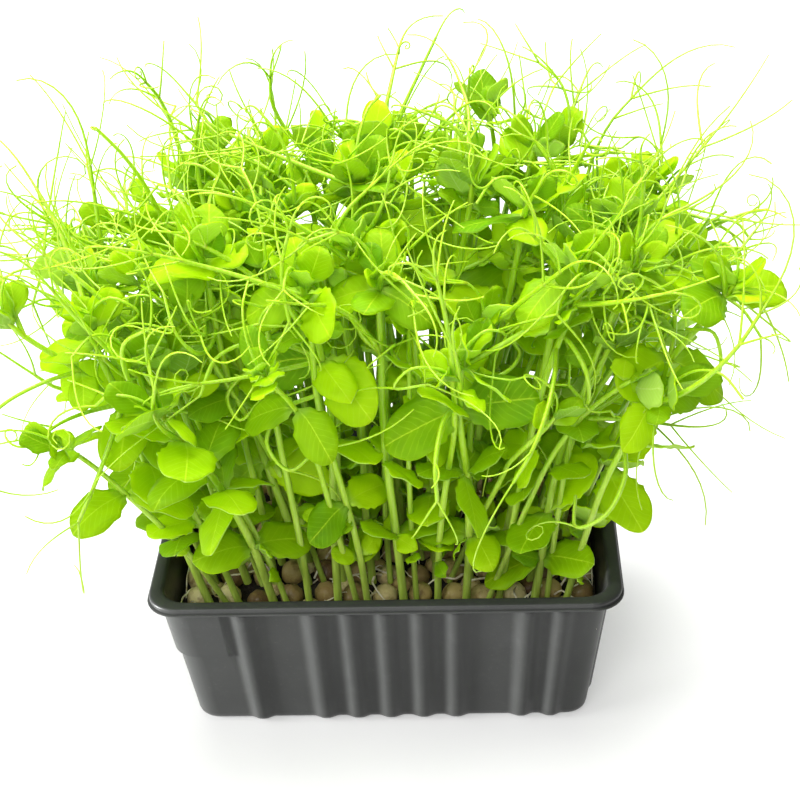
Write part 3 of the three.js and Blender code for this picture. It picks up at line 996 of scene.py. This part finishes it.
BLADE_CELLS = 10
BLADE_MIDDLE = 0.53
BLADE_HALF_LENGTH = 0.47
BLADE_HALF_WIDTH = 0.38
BLADE_SKEW = 0.07
BLADE_NOTCH = 0.1
BLADE_LEAD = 0.06
SMALL_BLADE_CELLS = 6
# The smaller pairs: their joint, their longest blades, and the lowest and the steepest climb.
SMALL_JOINTS = (
    (3, 20, -0.6, 0.5),
    (1, 9, 0.7, 1.3),
    (1, 19, -0.5, 0.5),
    (2, 19, -0.5, 0.5),
    (4, 18, -0.6, 0.5),
    (5, 15, -0.4, 0.8),
    (5, 12, 0, 1.2),
)
SMALL_ATTEMPTS = 12
TENDRIL_ATTEMPTS = 8
SMALL_BEAD = 0.9
TIP_PAIR_SHARES = (0.35, 0.6)
TIP_PAIR_LENGTH = (6, 11)
TIP_PAIR_CUP = (0.8, 1.6)
LEAF_THICKNESS = 0.4
LEAF_WAVE = 0.8
MIDRIB_DEPTH = 0.35
TOOTH = 0.1
SMALLEST_TOOTHED = 12
STEM, TENDRIL, LEAF, LEAF_BACK = range(4)


def inside_reach(points):
    """Whether points lie where the shoots may reach."""
    limits = (REACH_X, REACH_Y, REACH_Z)
    return bool((np.abs(points[:, :3]) < limits).all())


def leaf_spot(x, y, tooth, point):
    """A point of a round sheet, as a place along and across a blade."""
    base = max(0, -x)
    teeth = 1 + tooth * min(1, base * 4)
    along = BLADE_MIDDLE + BLADE_HALF_LENGTH * x * teeth + BLADE_SKEW * y
    along = along - BLADE_NOTCH * base ** 6 * (1 - abs(y)) + point * max(0, x) ** 8
    across = -BLADE_LEAD * (1 - base ** 4) + BLADE_HALF_WIDTH * y * teeth
    return along, across


def add_blade(shape, pair, hand, cells, dice):
    """One blade: a square grid made round, then shaped into half a heart and laid in its pair."""
    uv = shape.loops.layers.uv["leaf"]
    tone = shape.verts.layers.float["tone"]
    made = bmesh.ops.create_grid(shape, x_segments=cells, y_segments=cells, size=1)["verts"]
    phase = dice.uniform(0, 6)
    ripple = dice.uniform(2.0, 3.4)
    point = dice.uniform(0, 0.06)
    shade = dice.random()
    rounds = {}
    for vert in made:
        s, t, _ = vert.co
        x = s * math.sqrt(1 - t * t / 2)
        y = t * math.sqrt(1 - s * s / 2)
        rounds[vert] = (x, y)
        toothed = pair.length > SMALLEST_TOOTHED and max(abs(s), abs(t)) > 0.99
        tooth = TOOTH * (round((s + t) * cells / 2) % 2) if toothed else 0
        along, across = leaf_spot(x, y, tooth, point)
        wave = LEAF_WAVE * (x * x + y * y)
        wave = wave * math.sin(ripple * 2 * x + phase) * math.cos(ripple * y - phase)
        crease = -MIDRIB_DEPTH * max(0, 1 - abs(t) * 4)
        flat_x, flat_y = pair.swept(along, across)
        vert.co = pair.point(flat_x, hand * flat_y, wave + crease)
        vert[tone] = shade
    faces = list({face for vert in made for face in vert.link_faces})
    for face in faces:
        for loop in face.loops:
            x, y = rounds[loop.vert]
            loop[uv].uv = (0.5 + 0.5 * x, 0.5 + 0.5 * y)
    if hand > 0:
        bmesh.ops.reverse_faces(shape, faces=faces)
    for face in faces:
        face.material_index = LEAF
    before = set(shape.faces)
    bmesh.ops.solidify(shape, geom=faces, thickness=LEAF_THICKNESS)
    normal = Vector(pair.normal)
    for face in set(shape.faces) - before | set(faces):
        if face.normal.dot(normal) < 0:
            face.material_index = LEAF_BACK
        else:
            face.material_index = LEAF


def some_arrow(dice):
    return np.array([dice.uniform(-1, 1) for _ in range(3)])


def curly_tendril(rods, root, along, length, radius, dice):
    """A thin tendril that reaches out in a long arc. A few end in a coil."""
    for _ in range(TENDRIL_ATTEMPTS):
        axis = off_axis(some_arrow(dice), along)
        turns = dice.uniform(*STRAIGHT_TURNS)
        if dice.random() < CURLY_SHARE:
            turns = dice.uniform(*COILED_TURNS)
        steps = TENDRIL_RINGS + int(turns * RINGS_A_TURN)
        heading = along
        rings = [root]
        for i in range(1, steps + 1):
            share = i / steps
            turn = turns * 2 * math.pi * COIL_TIGHTNESS * share ** COIL_GROWTH / steps
            heading = turned(heading, axis, turn)
            rings.append(rings[-1] + (heading + axis * COIL_PITCH * share) * length / steps)
        if inside_reach(np.array(rings)):
            radii = np.linspace(radius, TENDRIL_TIP_RADIUS, len(rings))
            add_rod(rods, np.array(rings), radii, TENDRIL)
            return
        length *= SHORTENED


def side_tendrils(rods, rings, dice, longest):
    """Tendrils that fork off a stalk at its rings, mostly two by two."""
    for a, b in zip(rings[:-1], rings[1:]):
        along = unit(b - a)
        side = off_axis(some_arrow(dice), along)
        for hand in (1, -1):
            if dice.random() < SKIPPED_SHARE:
                continue
            out = unit(along * dice.uniform(0.8, 1.8) + side * hand)
            length = longest * dice.uniform(0.4, 1)
            curly_tendril(rods, b, out, length, TENDRIL_RADIUS * SIDE_TENDRIL_SCALE, dice)


def tendril_spray(rods, root, outwards, dice):
    """A leaf that has become a strong stalk, which ends in a fork of thin tendrils."""
    for attempt in range(TENDRIL_ATTEMPTS):
        along = direction(outwards + dice.uniform(-1.6, 1.6), dice.uniform(*SPRAY_CLIMB))
        axis = off_axis(some_arrow(dice), along)
        length = dice.uniform(*SPRAY_LENGTH) * SPRAY_SHORTENED ** attempt
        rings = [root] + curl_rings(root, along, axis, length, dice.uniform(-1.3, 1.3), 5)
        if inside_reach(np.array(rings)):
            break
    else:
        return
    line = smooth_line(np.array(rings), 2)
    add_rod(rods, line, np.linspace(STALK_RADIUS, TENDRIL_RADIUS * 1.2, len(line)), TENDRIL)
    side_tendrils(rods, rings[3:], dice, LONGEST_TENDRIL)
    curly_tendril(rods, rings[-1], unit(rings[-1] - rings[-2]), length * 0.9, TENDRIL_RADIUS, dice)


def stem_radii(count, top_share):
    """From the foot to the top joint, and thinner beyond it."""
    radii = []
    for k in range(count):
        share = k / (count - 1)
        stem = STEM_FOOT_RADIUS + (STEM_TOP_RADIUS - STEM_FOOT_RADIUS) * min(1, share / top_share)
        beyond = max(0, share - top_share) / (1 - top_share)
        radii.append(stem + (TENDRIL_RADIUS - STEM_TOP_RADIUS) * min(1, beyond * 2.5))
    return radii


def add_small_pairs(shoot, beads, owner, dice):
    """Smaller blades at the joints in between, and folded young ones round the tip."""
    pairs = []
    for joint, longest, lowest, steepest in SMALL_JOINTS:
        here = shoot.joints[joint]
        for _ in range(SMALL_ATTEMPTS):
            heading = dice.uniform(0, 2 * math.pi)
            forward = direction(heading, dice.uniform(lowest, steepest))
            length = longest * dice.uniform(0.7, 1)
            pair = Pair(here, forward, dice.uniform(-0.5, 0.5), heading, length,
                        dice.uniform(0.1, 0.7), dice.uniform(0, 1.1), dice.uniform(0, 0.6))
            rows = pair.beads(SMALL_BEAD)
            if inside_reach(rows) and beads.is_clear(rows, owner):
                beads.place(rows, owner)
                pairs.append(pair)
                break
    tip = shoot.tip[0]
    along = unit(tip - shoot.joints[5])
    for share in TIP_PAIR_SHARES:
        heading = dice.uniform(0, 2 * math.pi)
        forward = unit(along + off_axis(direction(heading, 0), along) * dice.uniform(0.4, 1))
        root = shoot.joints[5] + (tip - shoot.joints[5]) * share
        length = dice.uniform(*TIP_PAIR_LENGTH)
        pairs.append(Pair(root, forward, 0, heading, length, 1.0, dice.uniform(*TIP_PAIR_CUP), 0.1))
    return pairs


def dress_shoot(name, shoot, owner, scale, spray_joints, materials, dice):
    """One shoot as an object: rods for the stem and the tendrils, and sheets for the blades."""
    rods = new_rods(name + "_lines", STEM_SIDES)
    line = smooth_line(shoot.rings(), 4)
    top_share = (len(shoot.joints) - 1) / (len(shoot.rings()) - 1)
    add_rod(rods, line, np.array(stem_radii(len(line), top_share)) * scale, STEM)
    twigs = new_rods(name + "_twigs", 0)
    if shoot.stalk is not None:
        stalk_line = smooth_line(shoot.stalk, 5)
        radii = np.linspace(STALK_RADIUS, STALK_END_RADIUS, len(stalk_line)) * scale
        add_rod(twigs, stalk_line, radii, TENDRIL)
        side_tendrils(twigs, shoot.stalk[2:], dice, LONGEST_TENDRIL)
    side_tendrils(twigs, shoot.rings()[7:], dice, LONGEST_TENDRIL)
    for joint in spray_joints:
        tendril_spray(twigs, shoot.joints[joint], shoot.outwards, dice)
    shape = bmesh.new()
    shape.loops.layers.uv.new("leaf")
    shape.verts.layers.float.new("tone")
    for rod_set in (rods, twigs):
        shape.from_mesh(rods_mesh(rod_set, materials))
    for pair in shoot.pairs:
        for hand in (1, -1):
            add_blade(shape, pair, hand, BLADE_CELLS, dice)
    for pair in add_small_pairs(shoot, beads, owner, dice):
        for hand in (1, -1):
            add_blade(shape, pair, hand, SMALL_BLADE_CELLS, dice)
    shade_smooth(shape)
    piece = show(name, shape, materials)
    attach(piece, "root")
    return piece


def stem_finish():
    finish = Finish("pea_stem")
    place = finish.place()
    height = finish.node("SeparateXYZ", {}, {"Vector": place}, "Z")
    drawn = finish.node("Mapping", {}, {"Vector": place, "Scale": (1, 1, 0.06)})
    streak = finish.speckle(drawn, 1400, 2)
    base = finish.blend(height.ramp(0.045, 0.12), colour(150, 174, 66), colour(152, 194, 4))
    base = finish.blend(streak.ramp(0.4, 0.75) * 0.35, base, colour(196, 222, 110))
    shader = finish.surface({
        "Base Color": base,
        "Roughness": 0.34 + streak * 0.1,
        "Specular IOR Level": 0.4,
        "Subsurface Weight": 0.35,
        "Subsurface Radius": (0.6, 1.0, 0.2),
        "Subsurface Scale": 0.002,
        "Normal": finish.bump(streak, 0.06, 0.1),
    })
    return finish.done(shader)


def tendril_finish():
    finish = Finish("pea_tendril")
    tint = finish.speckle(finish.place(), 60, 2)
    base = finish.blend(tint.ramp(0.35, 0.65), colour(122, 164, 0), colour(168, 200, 0))
    shader = finish.surface({
        "Base Color": base,
        "Roughness": 0.42 + tint * 0.1,
        "Specular IOR Level": 0.25,
    })
    glow = finish.node("BsdfTranslucent", {}, {"Color": colour(190, 224, 0)})
    return finish.done(finish.node("MixShader", {}, {0: 0.3, 1: shader, 2: glow}))


def leaf_finish(name, deep, bright, vein, glow_share, glow_colour):
    """A leaf's upper or lower side. It is mapped from the stem outwards and across the blade."""
    finish = Finish(name)
    place = finish.place()
    uv = finish.node("UVMap", {"uv_map": "leaf"}, {})
    along = finish.node("SeparateXYZ", {}, {"Vector": uv}, "X")
    across = finish.node("SeparateXYZ", {}, {"Vector": uv}, "Y")
    tone = finish.node("Attribute", {"attribute_name": "tone"}, {}, "Fac")
    mottle = finish.speckle(place, 160, 3)
    fine = finish.speckle(place, 1300, 3, 0.6)
    off_rib = abs(across - 0.5) * 2
    rib = 1 - off_rib.ramp(0.0, 0.05)
    branch = along * 8 - off_rib * 3 + mottle * 1.2
    side_vein = abs(branch.math("FRACT", branch) - 0.5)
    side_vein = (1 - side_vein.ramp(0.0, 0.13)) * (1 - off_rib.ramp(0.55, 1.0))
    veins = (rib * 0.9 + side_vein * 0.5).clamped()
    base = finish.blend((tone + mottle * 0.5 - 0.25).clamped(), deep, bright)
    base = finish.blend(veins * 0.7, base, vein)
    base = finish.blend(fine.ramp(0.64, 0.75) * 0.12, base, colour(190, 224, 60))
    base = finish.blend((1 - along.ramp(0.0, 0.16)) * 0.5, base, colour(190, 220, 110))
    height = mottle * 0.6 + fine * 0.2 - veins * 0.5
    shader = finish.surface({
        "Base Color": base,
        "Roughness": 0.42 + mottle * 0.2,
        "Specular IOR Level": 0.16,
        "Normal": finish.bump(height, 0.4, 0.5),
    })
    glow = finish.node("BsdfTranslucent", {}, {"Color": glow_colour})
    share = glow_share - veins * 0.15
    return finish.done(finish.node("MixShader", {}, {0: share, 1: shader, 2: glow}))


green_finishes = [
    stem_finish(),
    tendril_finish(),
    leaf_finish("leaf_face", colour(94, 146, 0), colour(192, 230, 0), colour(214, 240, 50), 0.5,
                colour(222, 250, 0)),
    leaf_finish("leaf_back", colour(116, 158, 48), colour(180, 214, 90), colour(208, 230, 124), 0.4,
                colour(218, 248, 0)),
]
look = random.Random(5)
for number, shoot in enumerate(shoots, 1):
    node = "shoot_%02d" % number
    piece = dress_shoot("green_" + node, shoot, number - 1, 1, SPRAY_JOINTS, green_finishes, look)
    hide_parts(node)


# Later shoots
# Thinner shoots that have come up later, in the hollows in between, and that thicken the stand.
LATE_SCALE = 0.85
LATE_BEAD = 1.2
LATE_LEAF_REACH = 108
LATE_SPRAY_JOINTS = (5,)


def is_leaf_kept(pair):
    """Whether a pair lies inside the reach, and not far past either end of the tray."""
    points = pair.beads(LATE_BEAD)
    return inside_reach(points) and np.abs(points[:, 0]).max() < LATE_LEAF_REACH


late_spots = [spot for spot in hollows if not is_stem_spot(*spot)]
late_shoots = grow_stems(late_spots, beads, len(shoots), LATE_BEAD)
grow_stalks(late_shoots, beads, len(shoots))
grow_pairs(late_shoots, beads, len(shoots), LATE_SCALE, LATE_BEAD)
for number, shoot in enumerate(late_shoots, 1):
    if shoot.stalk is not None and not inside_reach(shoot.stalk):
        shoot.stalk = None
    shoot.pairs = [pair for pair in shoot.pairs if is_leaf_kept(pair)]
    name = "late_shoot_%02d" % number
    owner = len(shoots) + number - 1
    dress_shoot(name, shoot, owner, LATE_SCALE, LATE_SPRAY_JOINTS, green_finishes, look)


# Slim shoots
# Thin young stems that have come up last, between two peas of a row, with small leaves and no stalk.
SLIM_SCALE = 0.7
SLIM_BEAD = 0.9
SLIM_STRAY = 0.6

slim_spots = [
    (i, j)
    for j in range(2, 2 * SEEDS_DEEP, 2)
    for i in range(3, 2 * SEEDS_ACROSS - 1, 2)
    if (i + j) % 4 == 1
]
first_slim = len(shoots) + len(late_shoots)
slim_shoots = grow_stems(slim_spots, beads, first_slim, SLIM_BEAD, SLIM_STRAY)
for number, shoot in enumerate(slim_shoots, 1):
    name = "slim_shoot_%02d" % number
    owner = first_slim + number - 1
    dress_shoot(name, shoot, owner, SLIM_SCALE, (), green_finishes, look)
